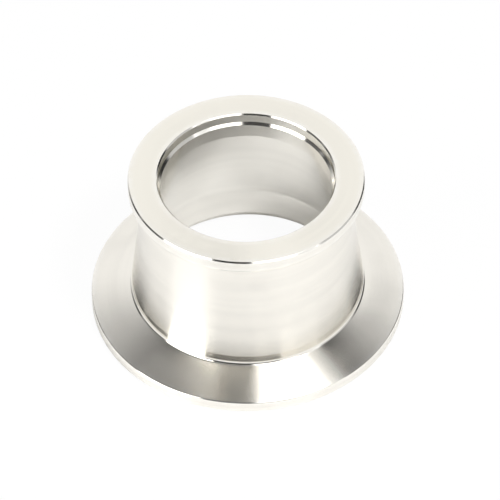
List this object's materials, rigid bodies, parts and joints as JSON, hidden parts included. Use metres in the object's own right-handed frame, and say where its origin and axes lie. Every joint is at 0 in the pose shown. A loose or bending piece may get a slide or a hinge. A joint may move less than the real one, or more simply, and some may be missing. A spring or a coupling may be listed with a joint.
{
  "type": "vacuum conical reducer",
  "caption": "Turned stainless steel vacuum adapter with a wide and a narrow clamp flange joined by a conical neck, open right through.",
  "frame": {"origin": "centre of the large flange's sealing face, on the turning axis, where the part stands", "axes": "+Z along the turning axis, from the large flange to the small flange; X and Y lie in the large sealing face, in any direction because the part is round"},
  "size_m": [0.075, 0.075, 0.04],
  "materials": {
    "turned_steel": "bright fine-turned stainless steel, with fine tool marks round the axis"
  },
  "bodies": {
    "root": {"conical_reducer": "turned_steel"}
  },
  "joints": []
}
